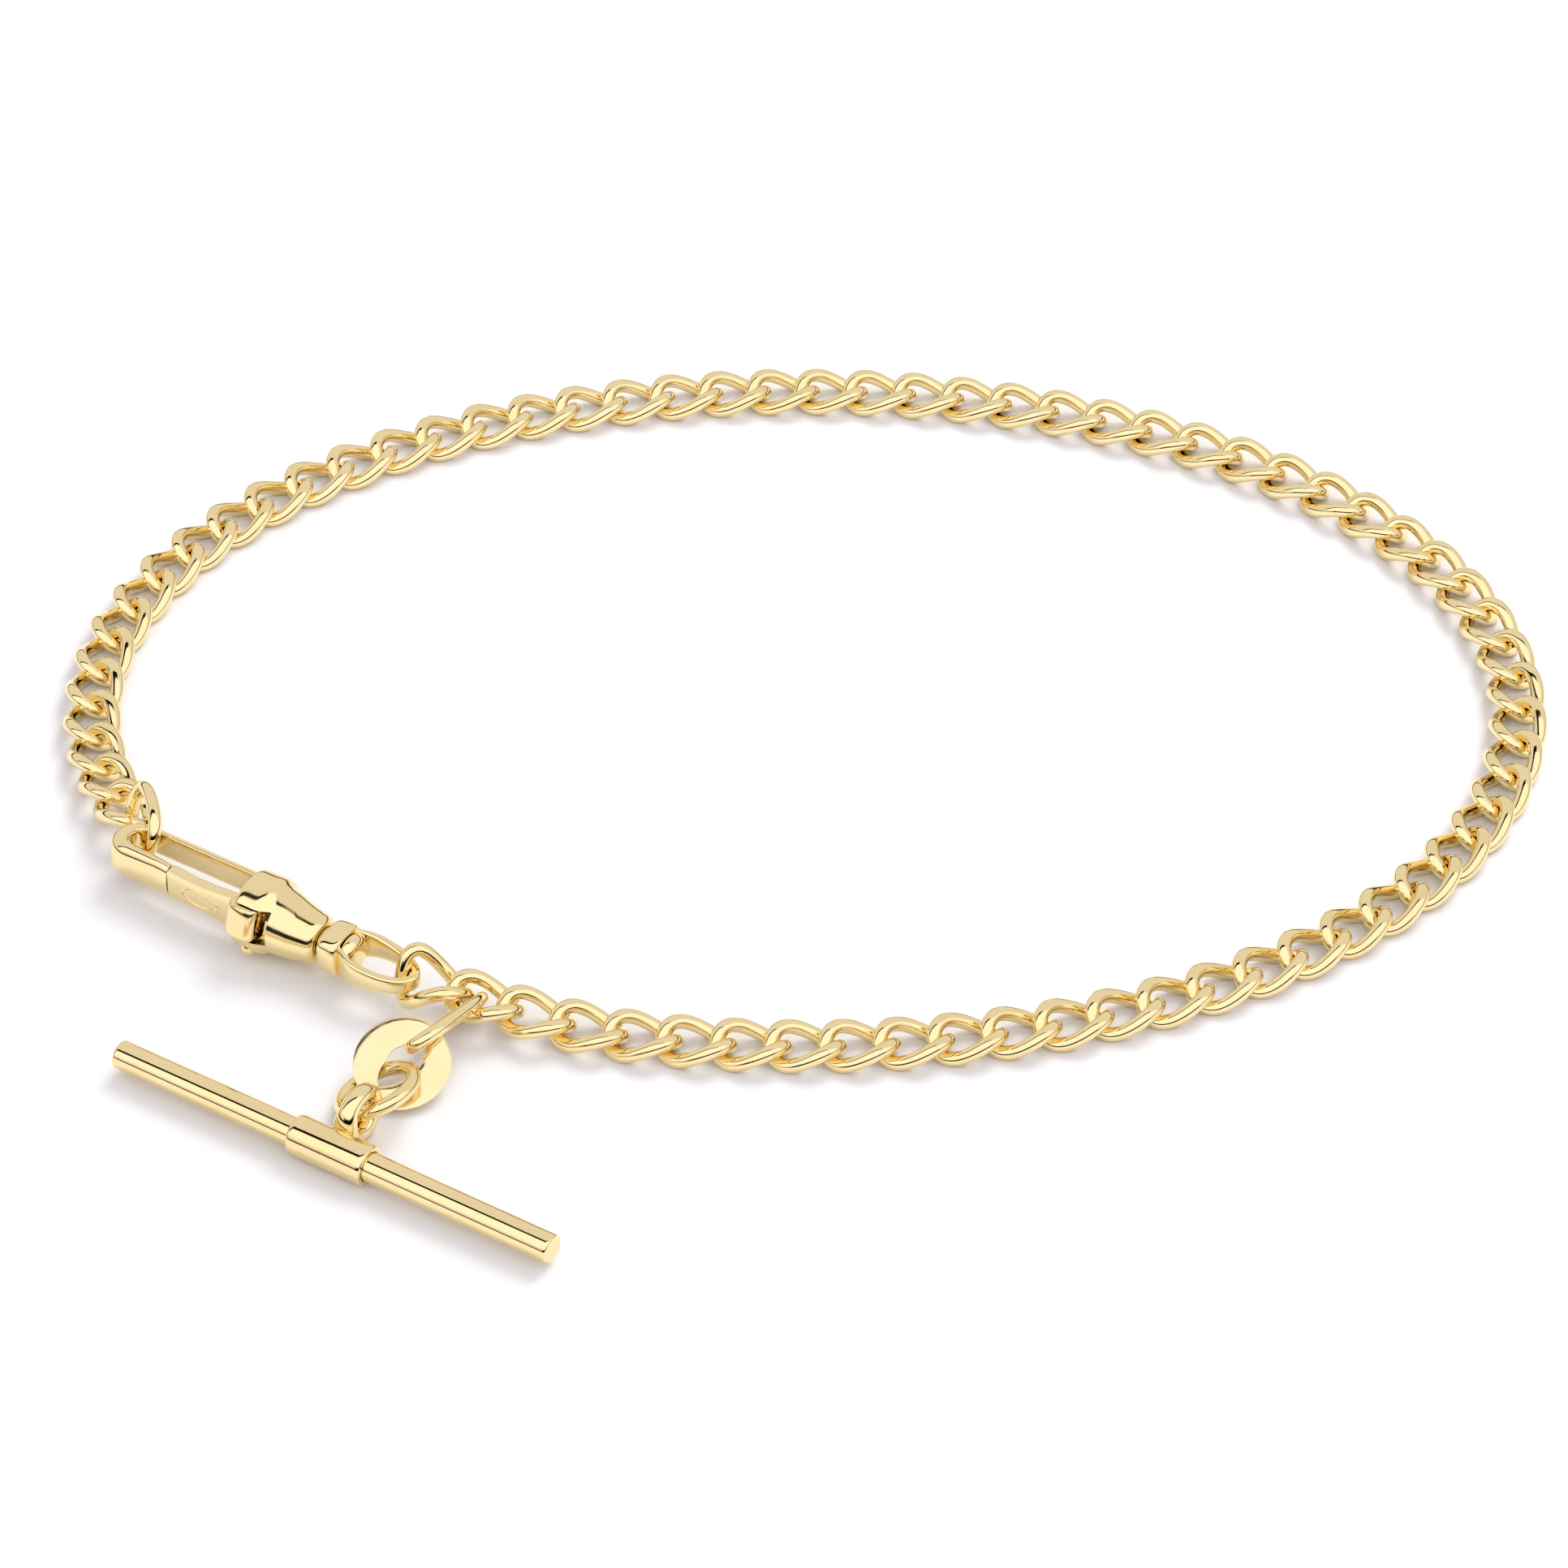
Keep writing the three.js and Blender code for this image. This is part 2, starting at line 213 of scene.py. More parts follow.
@dataclass(frozen=True)
class MetalFinish:
    """Bare metal with faint polishing marks, small dents and colour that drifts a little."""

    name: str
    colour: Colour
    deeper: Colour
    roughness: float
    unevenness: float
    grain: float = 0.0
    grain_size: float = 0.25
    ripple: float = 0.0012
    marks: float = 0.0004

    def material(self) -> bpy.types.Material:
        """Builds the material, or gives the one already built.

        Returns:
            The material.
        """
        found = bpy.data.materials.get(self.name)
        if found:
            return found
        made = bpy.data.materials.new(self.name)
        made.use_nodes = True
        graph = Graph(made.node_tree)
        place = graph.add("ShaderNodeTexCoord", {}, {}).outputs["Object"]
        drift = graph.noise(place, 0.25 / MM, 3.0)
        smears = graph.noise(place, 1.2 / MM, 4.0)
        stretched = graph.add(
            "ShaderNodeMapping", {}, {"Vector": place, "Rotation": (0.4, 0.9, 0.6), "Scale": (1.0, 9.0, 9.0)}
        ).outputs[0]
        marks = graph.noise(stretched, 1.6 / MM, 3.0)
        height = graph.noise(place, 0.7 / MM, 1.0) * self.ripple + marks * self.marks
        if self.grain:
            grain = graph.noise(place, 1.0 / (self.grain_size * MM), 5.0)
            height = height + grain * self.grain
        colour = graph.blend(drift.ramp(0.35, 0.75), self.colour, self.deeper)
        rough = self.roughness + smears.ramp(0.4, 0.8) * self.unevenness
        bump = graph.add("ShaderNodeBump", {}, {"Strength": 1.0, "Distance": MM, "Height": height})
        shader = graph.add(
            "ShaderNodeBsdfPrincipled",
            {},
            {
                "Base Color": colour,
                "Metallic": 1.0,
                "Roughness": rough,
                "Normal": bump.outputs[0],
            },
        )
        graph.add("ShaderNodeOutputMaterial", {}, {"Surface": shader.outputs[0]})
        return made


POLISHED_GOLD = MetalFinish("polished_gold", (0.955, 0.785, 0.43), (0.94, 0.755, 0.385), 0.05, 0.05)
BUFFED_GOLD = MetalFinish(
    "buffed_gold", (0.955, 0.78, 0.42), (0.94, 0.75, 0.38), 0.1, 0.08, ripple=0.002
)
CAST_GOLD = MetalFinish(
    "cast_gold", (0.93, 0.77, 0.44), (0.86, 0.68, 0.34), 0.2, 0.14, grain=0.035, grain_size=0.55
)
FILED_GOLD = MetalFinish(
    "filed_gold", (0.94, 0.77, 0.44), (0.90, 0.72, 0.38), 0.13, 0.08, grain=0.004, grain_size=0.3
)
TURNED_GOLD = MetalFinish(
    "turned_gold", (0.82, 0.66, 0.32), (0.74, 0.57, 0.25), 0.24, 0.1, grain=0.006
)
SPRING_STEEL = MetalFinish(
    "spring_steel", (0.60, 0.61, 0.63), (0.48, 0.49, 0.52), 0.26, 0.12, grain=0.004
)


# ---- Shapes ----


def rounded(corners: Sequence[Corner], steps: int = 5, closed: bool = False) -> list[Point2]:
    """Turns a polyline's corners into smooth bends.

    Args:
        corners: each corner's two coordinates and how far along its sides the bend starts.
        steps: how many pieces each bend has.
        closed: whether the last corner joins the first.

    Returns:
        The smoothed polyline.
    """
    line: list[Point2] = []
    count = len(corners)
    for i, (x, y, cut) in enumerate(corners):
        here = Vector((x, y))
        if cut == 0 or (not closed and i in (0, count - 1)):
            line.append((x, y))
            continue
        before = Vector(corners[i - 1][:2]) - here
        after = Vector(corners[(i + 1) % count][:2]) - here
        start = here + before.normalized() * min(cut, before.length * 0.5)
        end = here + after.normalized() * min(cut, after.length * 0.5)
        for k in range(steps + 1):
            t = k / steps
            point = start * (1 - t) ** 2 + here * 2 * t * (1 - t) + end * t**2
            line.append((point.x, point.y))
    return line


def oval(half_u: float, half_v: float, power: float = 2.0, sides: int = 24) -> list[Point2]:
    """A closed section between an ellipse (power 2) and a box (a high power).

    Args:
        half_u: half its size along its first axis.
        half_v: half its size along its second axis.
        power: how square it is.
        sides: how many points it has.

    Returns:
        The points.
    """
    points = []
    for k in range(sides):
        turn = 2 * math.pi * (k + 0.5) / sides
        c, s = math.cos(turn), math.sin(turn)
        reach = (abs(c) ** power + abs(s) ** power) ** (-1 / power)
        points.append((half_u * c * reach, half_v * s * reach))
    return points


class Form:
    """A surface under construction, in millimetres."""

    def __init__(self) -> None:
        """Starts empty."""
        self.points: list[Vector] = []
        self.faces: list[list[int]] = []

    def skin(self, rings: Sequence[Sequence[Vector]], closed: bool) -> "Form":
        """Covers a row of rings that all have the same number of points.

        Args:
            rings: the rings, in order.
            closed: whether the last ring joins the first. An open row gets a cap at each end.

        Returns:
            This form.
        """
        start, sides, count = len(self.points), len(rings[0]), len(rings)
        for ring in rings:
            self.points.extend(ring)
        for i in range(count if closed else count - 1):
            here, there = start + i * sides, start + ((i + 1) % count) * sides
            for k in range(sides):
                m = (k + 1) % sides
                self.faces.append([here + k, here + m, there + m, there + k])
        if not closed:
            self.faces.append([start + k for k in range(sides)])
            self.faces.append([start + (count - 1) * sides + k for k in range(sides)])
        return self

    def sweep(
        self,
        path: Sequence[Vector],
        face: Callable[[int], Vector],
        section: Callable[[int], Sequence[Point2]],
        closed: bool = True,
    ) -> "Form":
        """Carries a section along a path.

        Args:
            path: the path's points.
            face: the direction of the section's second axis, for each point's number.
            section: the section's points, for each point's number.
            closed: whether the path is a loop.

        Returns:
            This form.
        """
        rings, count = [], len(path)
        for i, point in enumerate(path):
            after = path[(i + 1) % count] if closed or i < count - 1 else point
            before = path[i - 1] if closed or i > 0 else point
            along = (after - before).normalized()
            side = along.cross(face(i)).normalized()
            up = side.cross(along).normalized()
            rings.append([point + side * u + up * v for u, v in section(i)])
        return self.skin(rings, closed)

    def lathe(self, profile: Sequence[Point2], sides: int = 64) -> "Form":
        """Turns a profile about the x axis.

        Args:
            profile: places along x, and radii. It starts and ends on the axis, or where it started.
            sides: how many sides the turned form has.

        Returns:
            This form.
        """
        looped = profile[0] == profile[-1]
        rows = profile[:-1] if looped else [(x, max(r, 1e-4)) for x, r in profile]
        rings = []
        for x, r in rows:
            turns = [2 * math.pi * k / sides for k in range(sides)]
            rings.append([Vector((x, r * math.cos(t), r * math.sin(t))) for t in turns])
        return self.skin(rings, looped)

    def moved(self, matrix: Matrix) -> "Form":
        """Moves every point by a matrix."""
        self.points = [matrix @ p for p in self.points]
        return self

    def bent(self, rule: Callable[[Vector], Vector]) -> "Form":
        """Moves every point by a rule."""
        self.points = [rule(p) for p in self.points]
        return self

    def with_(self, other: "Form") -> "Form":
        """Adds another form's surface to this one."""
        start = len(self.points)
        self.points.extend(other.points)
        self.faces.extend([[start + k for k in face] for face in other.faces])
        return self

    def solid(
        self, name: str, placement: Matrix, finish: MetalFinish, crease: float = 38.0
    ) -> bpy.types.Object:
        """Makes the mesh object.

        Args:
            name: the piece's name.
            placement: from the form's own frame to the row frame, both in millimetres.
            finish: the metal.
            crease: the angle in degrees above which an edge stays sharp.

        Returns:
            The object, in metres.
        """
        mesh = bpy.data.meshes.new(name)
        corners = [(placement @ p) * MM for p in self.points]
        mesh.from_pydata([tuple(c) for c in corners], [], self.faces)
        shell = bmesh.new()
        shell.from_mesh(mesh)
        bmesh.ops.recalc_face_normals(shell, faces=shell.faces)
        shell.to_mesh(mesh)
        shell.free()
        mesh.shade_smooth()
        mesh.set_sharp_from_angle(angle=math.radians(crease))
        mesh.materials.append(finish.material())
        made = bpy.data.objects.new(name, mesh)
        bpy.context.scene.collection.objects.link(made)
        return made


def ring_path(
    radius: float, steps: int, shape: Callable[[float], float] = lambda t: 1.0
) -> list[Vector]:
    """A flat ring's centreline in the xy plane.

    Args:
        radius: its mean radius.
        steps: how many points it has.
        shape: a factor on the radius for each turn angle.

    Returns:
        The points.
    """
    turns = [2 * math.pi * k / steps for k in range(steps)]
    return [Vector((math.cos(t), math.sin(t), 0)) * radius * shape(t) for t in turns]


def band(
    inner: Sequence[Point2],
    outer: Sequence[Point2],
    height: Callable[[float], float],
    power: Callable[[float], float],
    closed: bool,
    sides: int = 28,
) -> Form:
    """A strap that runs between an inner and an outer line in the xy plane.

    Args:
        inner: the inner line.
        outer: the outer line, with as many points.
        height: half the strap's height along z, from the share of the way along.
        power: how square its section is, from the share of the way along.
        closed: whether it is a loop.
        sides: how many points its section has.

    Returns:
        The strap.
    """
    rings = []
    for i, (near, far) in enumerate(zip(inner, outer)):
        share = i / max(1, len(inner) - 1)
        low, high = Vector((*near, 0)), Vector((*far, 0))
        middle, out = (low + high) / 2, high - low
        section = oval(out.length / 2, height(share), power(share), sides)
        out.normalize()
        rings.append([middle + out * u + Vector((0, 0, v)) for u, v in section])
    return Form().skin(rings, closed)


def evenly(low: float, high: float, count: int) -> list[float]:
    """Evenly spaced numbers, both ends included."""
    return [low + (high - low) * k / (count - 1) for k in range(count)]


def resampled(line: Sequence[Point2], count: int) -> list[Point2]:
    """Spreads points evenly along a polyline.

    Args:
        line: the polyline.
        count: how many points to give.

    Returns:
        The points, both ends included.
    """
    lengths = [0.0]
    for a, b in zip(line, line[1:]):
        lengths.append(lengths[-1] + math.dist(a, b))
    points, k = [], 0
    for i in range(count):
        want = lengths[-1] * i / (count - 1)
        while k < len(line) - 2 and lengths[k + 1] < want:
            k += 1
        span = max(lengths[k + 1] - lengths[k], 1e-9)
        t = min(max((want - lengths[k]) / span, 0.0), 1.0)
        points.append(tuple(line[k][j] + (line[k + 1][j] - line[k][j]) * t for j in (0, 1)))
    return points


def arc(x: float, y: float, radius: float, start: float, end: float, steps: int = 12) -> list[Point2]:
    """Points along an arc.

    Args:
        x: the centre's first coordinate.
        y: the centre's second coordinate.
        radius: the radius.
        start: the first angle in degrees.
        end: the last angle in degrees.
        steps: how many pieces it has.

    Returns:
        The points.
    """
    turns = [math.radians(start + (end - start) * k / steps) for k in range(steps + 1)]
    return [(x + radius * math.cos(t), y + radius * math.sin(t)) for t in turns]


def middle_of(node: str) -> Vector:
    """The middle of a CAD node's box in the row frame, in millimetres."""
    low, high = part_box(node)
    return (low + high) / 2 / MM


def settle(made: bpy.types.Object, body: str, slot: Slot, *nodes: str) -> bpy.types.Object:
    """Fastens a finished piece to its body and hides the CAD nodes that it stands for.

    Args:
        made: the piece.
        body: the CAD body that it moves with.
        slot: the material slot that it takes its finish from; not used.
        nodes: the CAD nodes that it stands for.

    Returns:
        The piece.
    """
    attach(made, body)
    if nodes:
        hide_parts(*nodes)
    log.info("%s rides on %s", made.name, body)
    return made


def cut_out(made: bpy.types.Object, tool: Form, placement: Matrix) -> None:
    """Cuts a closed form out of a piece.

    Args:
        made: the piece.
        tool: the form to take away.
        placement: from the tool's own frame to the row frame, both in millimetres.
    """
    knife = tool.solid("knife", placement, POLISHED_GOLD)
    cutter = made.modifiers.new("cut", "BOOLEAN")
    cutter.operation = "DIFFERENCE"
    cutter.solver = "EXACT"
    cutter.object = knife
    bpy.context.view_layer.update()
    shape = bpy.data.meshes.new_from_object(made.evaluated_get(bpy.context.evaluated_depsgraph_get()))
    made.modifiers.clear()
    made.data = shape
    shape.shade_smooth()
    shape.set_sharp_from_angle(angle=math.radians(EDGE_ANGLE))
    bpy.data.objects.remove(knife)


def round_edges(
    made: bpy.types.Object, width: float, segments: int = 3, angle: float = EDGE_ANGLE
) -> None:
    """Rounds a piece's sharp edges.

    Args:
        made: the piece.
        width: the rounding's width in millimetres.
        segments: how many faces the rounding has.
        angle: the smallest angle in degrees that counts as an edge.
    """
    bevel = made.modifiers.new("round", "BEVEL")
    bevel.width = width * MM
    bevel.segments = segments
    bevel.limit_method = "ANGLE"
    bevel.angle_limit = math.radians(angle)
    bevel.use_clamp_overlap = True
    bevel.harden_normals = False
    even = made.modifiers.new("even", "WEIGHTED_NORMAL")
    even.keep_sharp = True


# ---- Curb chain ----


@dataclass
class CurbChain:
    """The curb links, laid along an ellipse from the swivel eye to the end ring."""

    semi_x: float = 44.32
    semi_y: float = 31.52
    start: float = math.radians(240.4)
    end: float = math.radians(560.7)
    links: int = 68
    half_length: float = 2.03
    half_width: float = 1.39
    twist: float = 0.54
    wire: float = 0.45
    flat_top: float = 0.87
    first_extra_twist: float = 0.8
    lying_height: float = 0.87
    slope: float = 0.12
    eye_height: float = 2.22
    ring_height: float = 1.75
    press_softness: float = 0.06
    steps: int = 56
    angles: list[float] = field(default_factory=list)
    pitch: float = 0.0

    def __post_init__(self) -> None:
        """Finds the loop's middle from the frame, and the links' places along the ellipse."""
        low, high = (Vector(c) for c in frame["record"]["physics"]["openings"][0]["box_m"])
        self.centre = (low + high) / 2 / MM
        count = 20000
        step = (self.end - self.start) / count
        lengths = [0.0]
        for i in range(count):
            angle = self.start + (i + 0.5) * step
            speed = math.hypot(self.semi_x * math.sin(angle), self.semi_y * math.cos(angle))
            lengths.append(lengths[-1] + speed * step)
        self.pitch = lengths[-1] / (self.links - 1)
        i = 0
        for k in range(self.links):
            while i < count and lengths[i] < k * self.pitch:
                i += 1
            self.angles.append(self.start + i * step)

    def height(self, place: float) -> float:
        """Height of the chain's middle at a place counted in links."""
        from_eye = self.eye_height - self.slope * self.pitch * (place + 0.33)
        from_ring = self.ring_height - self.slope * self.pitch * (self.links - 0.5 - place)
        return max(self.lying_height, from_eye, from_ring)

    def link(self, index: int) -> Form:
        """One curb link.

        Args:
            index: its number along the chain, from 0.

        Returns:
            The link, in the row frame.
        """
        before, after = self.height(index - 0.5), self.height(index + 0.5)
        lean = (after - before) / self.pitch
        angle = self.angles[index]
        direction = math.atan2(self.semi_y * math.cos(angle), -self.semi_x * math.sin(angle))
        path = []
        for k in range(self.steps):
            turn = 2 * math.pi * k / self.steps
            along = math.cos(turn)
            extra = self.first_extra_twist * (1 - along) / 2 if index == 0 else 0.0
            rise = lean * self.half_length * along - (self.twist + extra) * math.sin(2 * turn)
            path.append(Vector((self.half_length * along, self.half_width * math.sin(turn), rise)))
        section = oval(self.wire, self.wire, 2.0, 16)
        form = Form().sweep(path, lambda i: Vector((0, 0, 1)), lambda i: section)
        if index > 0:
            form.bent(lambda p: self._pressed(p, lean))
        middle = Vector(
            (self.semi_x * math.cos(angle), self.semi_y * math.sin(angle), (before + after) / 2)
        )
        place = Matrix.Translation(middle + Vector((self.centre.x, self.centre.y, 0)))
        return form.moved(place @ Matrix.Rotation(direction, 4, "Z"))

    def _pressed(self, point: Vector, lean: float) -> Vector:
        """Flattens the link softly above and below, as a curb chain is pressed."""
        level = point.z - lean * point.x
        over = abs(level) - self.flat_top
        soft = self.press_softness
        pressed = self.flat_top + (soft * math.tanh(over / soft) if over > 0 else over)
        return Vector((point.x, point.y, lean * point.x + math.copysign(pressed, level)))

    def build(self) -> None:
        """Makes one piece for each CAD node of one or two links."""
        names = sorted((n for n in frame["nodes"] if n.startswith("curb_")), key=lambda n: n[-2:])
        first = 0
        for name in names:
            form = Form()
            for _ in range(2 if "pair" in name else 1):
                form.with_(self.link(first))
                first += 1
            made = form.solid(f"links_{name[-2:]}", Matrix.Identity(4), POLISHED_GOLD, 60.0)
            settle(made, f"chain_{name[-2:]}", Slot.POLISHED, name)


# ---- Swivel clip ----


@dataclass
class SwivelClip:
    """The clip: barrel, hook, gate and rivets."""

    swivel_x: float = 5.0
    mouth: float = -0.45
    collar_end: float = 1.3
    radius: float = 2.45
    rise: float = 0.23
    length: float = 4.85
    cavity: float = 1.6
    cavity_depth: float = 3.2
    notch_end: float = 1.95
    notch_half_height: float = 1.1
    notch_roll: float = math.radians(-19)
    arm_start: float = -0.3
    arm_half_height: float = 0.91
    arm_outer: float = 2.18
    arm_inner: float = 1.73
    nose_x: float = -9.42
    nose_radius: float = 1.62
    slot_x: float = -9.17
    slot_radius: float = 0.72
    lip_end: float = -6.1
    lip_outer: float = -1.04
    lip_inner: float = -0.02
    lip_swell: float = 0.36
    pivot: Point2 = (0.55, -1.35)
    lever_end: float = -6.04
    lever_length: float = 5.5
    lever_front: float = -0.96
    lever_flare: float = 0.08
    lever_half_height: float = 1.1
    panel_centre: Point2 = (-3.62, -0.04)
    panel_half: Point2 = (1.35, 0.56)
    block_middle: Point2 = (0.2, -1.35)
    block_half_height: float = 1.03

    def __post_init__(self) -> None:
        """Finds the clip's own frame from the swivel joint."""
        joint = next(j for j in frame["joints"] if j["name"] == "swivel")
        axis = Vector(joint["axis"]).normalized()
        zero = Vector(joint["pos_m"]) / MM - axis * self.swivel_x
        self.place = Matrix.Translation(zero) @ Matrix.Rotation(math.atan2(axis.y, axis.x), 4, "Z")
        collar = Matrix.Translation((0, 0, self.rise))
        self.rolled = self.place @ collar @ Matrix.Rotation(self.notch_roll, 4, "X")

    def barrel(self) -> None:
        """The turned barrel: a full collar, a shoulder and a cone, notched for the gate."""
        corners = [
            (self.mouth, self.cavity, 0.05),
            (self.mouth, self.radius - 0.05, 0.16),
            (self.mouth + 0.18, self.radius, 0.3),
            (self.collar_end, self.radius, 0.42),
            (self.collar_end + 0.42, self.radius - 0.36, 0.2),
            (self.collar_end + 0.9, self.radius - 0.42, 0.4),
            (self.length - 0.25, 1.5, 0.25),
            (self.length, 1.2, 0.12),
            (self.length, 0.55, 0.05),
            (self.cavity_depth, 0.55, 0.05),
            (self.cavity_depth, self.cavity, 0.1),
        ]
        profile = rounded(corners, 6, True)
        profile = resampled([*profile, profile[0]], 130)
        profile[-1] = profile[0]
        turned = Form().lathe(profile, 112).bent(self._risen)
        made = turned.solid("clip_barrel_shell", self.place, BUFFED_GOLD)
        half, end = self.notch_half_height, self.notch_end
        outline = rounded([(-3, -4, 0), (end, -4, 0), (end, -0.6, 0.12), (-3, -0.6, 0)], 4, True)
        rings = [[Vector((x, y, z)) for x, y in outline] for z in (-half, half)]
        cut_out(made, Form().skin(rings, False), self.rolled)
        round_edges(made, 0.05, 2, 50.0)
        settle(made, "clip", Slot.POLISHED, "clip_barrel")

    def _risen(self, point: Vector) -> Vector:
        """Lifts the collar, which is fuller than the cone, so that it lies on the table too."""
        share = (self.cavity_depth - point.x) / (self.cavity_depth - self.collar_end)
        return point + Vector((0, 0, self.rise * min(max(share, 0.0), 1.0)))

    def hook(self) -> None:
        """The hook: a thin arm, a thick round nose and a fat lip that ends at the gate."""
        nose_y = self.arm_outer - self.nose_radius
        slot_y = self.arm_inner - self.slot_radius
        arm_count, nose_count, lip_count = 34, 30, 18
        outer = resampled([(self.arm_start, self.arm_outer), (self.nose_x, self.arm_outer)], arm_count)
        inner = resampled([(self.arm_start, self.arm_inner), (self.slot_x, self.arm_inner)], arm_count)
        outer += arc(self.nose_x, nose_y, self.nose_radius, 90, 270, nose_count)[1:]
        inner += arc(self.slot_x, slot_y, self.slot_radius, 90, 270, nose_count)[1:]
        outer += resampled([outer[-1], (self.lip_end, self.lip_outer)], lip_count)[1:]
        inner += resampled([inner[-1], (self.lip_end, self.lip_inner)], lip_count)[1:]
        total = len(outer) - 1
        arm_end, nose_end = arm_count / total, (arm_count + nose_count) / total

        def fullness(share: float) -> float:
            """0 along the arm, 1 along the lip."""
            start = arm_end + 0.3 * (nose_end - arm_end)
            t = min(max((share - start) / (nose_end - start), 0.0), 1.0)
            return t * t * (3 - 2 * t)

        def half_height(share: float) -> float:
            """Grows from the arm to the lip, and falls a little at the lip's end."""
            fall = 0.1 * max(0.0, (share - 0.93) / 0.07) ** 2
            return self.arm_half_height + self.lip_swell * fullness(share) - fall

        form = band(inner, outer, half_height, lambda s: 6.0 - 3.95 * fullness(s), False, 36)
        long, wide = 0.3, 0.45
        places = evenly(-long, long, 14)
        dome = [(x, wide * math.sqrt(max(0.0, 1 - (x / long) ** 2))) for x in places]
        knob = Form().lathe(dome, 24)
        spot = Matrix.Translation((self.nose_x - 1.2, nose_y - 0.7, -0.75))
        form.with_(knob.moved(spot @ Matrix.Rotation(math.radians(35), 4, "Z")))
        made = form.solid("clip_hook_shell", self.place, POLISHED_GOLD)
        made.data.materials.append(CAST_GOLD.material())
        back = self.place.inverted()
        for face in made.data.polygons:
            centre = back @ (face.center / MM)
            inward = (back.to_3x3() @ face.normal).y < -0.6
            if inward and centre.y > 1.2 and centre.x > self.slot_x - 0.4:
                face.material_index = 1
        round_edges(made, 0.09, 3, 40.0)
        settle(made, "clip", Slot.POLISHED, "clip_hook")

    def gate(self) -> None:
        """The gate: a waisted lever with a blank lozenge panel, and a cushion-shaped thumb block."""
        rings = []
        for t in evenly(0.0, 1.0, 26):
            x = self.lever_end + self.lever_length * t
            waist = 0.12 * math.sin(math.pi * min(1.0, t * 1.1)) ** 2
            tip = 0.03 if t in (0.0, 1.0) else 0.0
            half_height = self.lever_half_height + 0.25 * t**2 - waist - tip
            low, high = self.lever_front - self.lever_flare * t, -0.12 - 0.2 * t
            section = oval((high - low) / 2, half_height, 7.0, 40)
            rings.append([Vector((x, (low + high) / 2 + u, v)) for u, v in section])
        form = Form().skin(rings, False)
        ridge = oval(0.075, 0.06, 2.0, 10)
        stud_wire = oval(0.03, 0.03, 2.0, 8)
        forwards = Vector((0, -1, 0))
        form.with_(Form().sweep(self._lozenge(56), lambda i: forwards, lambda i: ridge))
        centre_x, centre_z = self.panel_centre
        for x, z in ((-0.55, 0.0), (0.0, 0.14), (0.0, -0.14), (0.55, 0.0)):
            loop = []
            for p in ring_path(0.09, 16):
                along = p.x + x + centre_x
                loop.append(Vector((along, self._front(along), p.y + z + centre_z)))
            form.with_(Form().sweep(loop, lambda i: forwards, lambda i: stud_wire))
        made = form.solid("clip_gate_lever", self.place, POLISHED_GOLD)
        round_edges(made, 0.06, 2, 50.0)
        settle(made, "gate", Slot.POLISHED, "clip_gate")
        outline = rounded(
            [
                (-0.92, -0.45, 0.25),
                (-0.94, -1.3, 0.4),
                (-0.86, -2.36, 0.5),
                (-0.2, -2.62, 0.5),
                (0.75, -2.62, 0.5),
                (1.22, -2.4, 0.4),
                (1.34, -1.75, 0.3),
                (1.3, -1.4, 0.2),
                (1.2, -0.9, 0.2),
                (-0.4, -0.72, 0.2),
            ],
            6,
            True,
        )
        middle = Vector((*self.block_middle, 0))
        rings = []
        for turn in evenly(-math.pi / 2, math.pi / 2, 17):
            swell = 0.86 + 0.14 * math.cos(turn) ** 0.7
            z = self.block_half_height * math.copysign(abs(math.sin(turn)) ** 0.55, turn)
            level = middle + Vector((0, 0, z))
            rings.append([level + (Vector((x, y, 0)) - middle) * swell for x, y in outline])
        block = Form().skin(rings, False).solid("clip_gate_block", self.rolled, BUFFED_GOLD)
        round_edges(block, 0.05, 2, 50.0)
        settle(block, "gate", Slot.POLISHED)

    def _front(self, x: float) -> float:
        """Where the lever's front face is at a place along the clip."""
        return self.lever_front - self.lever_flare * (x - self.lever_end) / self.lever_length

    def _lozenge(self, count: int) -> list[Vector]:
        """A pointed panel's outline on the lever's front face."""
        (centre_x, centre_z), (half_length, half_height) = self.panel_centre, self.panel_half
        points = []
        for k in range(count):
            turn = 2 * math.pi * k / count
            c, s = math.cos(turn), math.sin(turn)
            x = centre_x + half_length * math.copysign(abs(c) ** 0.9, c)
            z = centre_z + half_height * math.copysign(abs(s) ** 1.5, s)
            points.append(Vector((x, self._front(x), z)))
        return points

    def rivet(self) -> None:
        """The gate's rivet, hammered over below and finished flush above."""
        head = [(-2.3, 0.0), (-2.28, 0.18), (-2.2, 0.34), (-2.05, 0.43), (-1.85, 0.46), (-1.6, 0.4)]
        profile = [*head, (-1.55, 0.24), (1.9, 0.24), (1.92, 0.0)]
        upright = Matrix.Translation((*self.pivot, 0)) @ Matrix.Rotation(math.radians(-90), 4, "Y")
        made = Form().lathe(profile, 32).moved(upright).solid("gate_rivet", self.rolled, POLISHED_GOLD)
        settle(made, "clip", Slot.POLISHED, "gate_pin")

    def swivel_rivet(self) -> None:
        """The swivel's rivet: a flange inside the barrel and a half-round head inside the eye."""
        flange = [(2.6, 0.95, 0.1), (3.1, 0.95, 0.1), (3.1, 0.42, 0), (6.62, 0.42, 0)]
        profile = [(2.6, 0.0), *rounded(flange, 3), (6.62, 1.16), (6.66, 1.22)]
        for turn in evenly(0.0, 1.5, 12):
            profile.append((6.72 + 0.7 * math.sin(turn), 1.24 * math.cos(turn) ** 0.6))
        turned = Form().lathe([*profile, (7.43, 0.0)], 56)
        made = turned.solid("swivel_rivet", self.place, POLISHED_GOLD)
        settle(made, "clip", Slot.POLISHED, "swivel_pin")

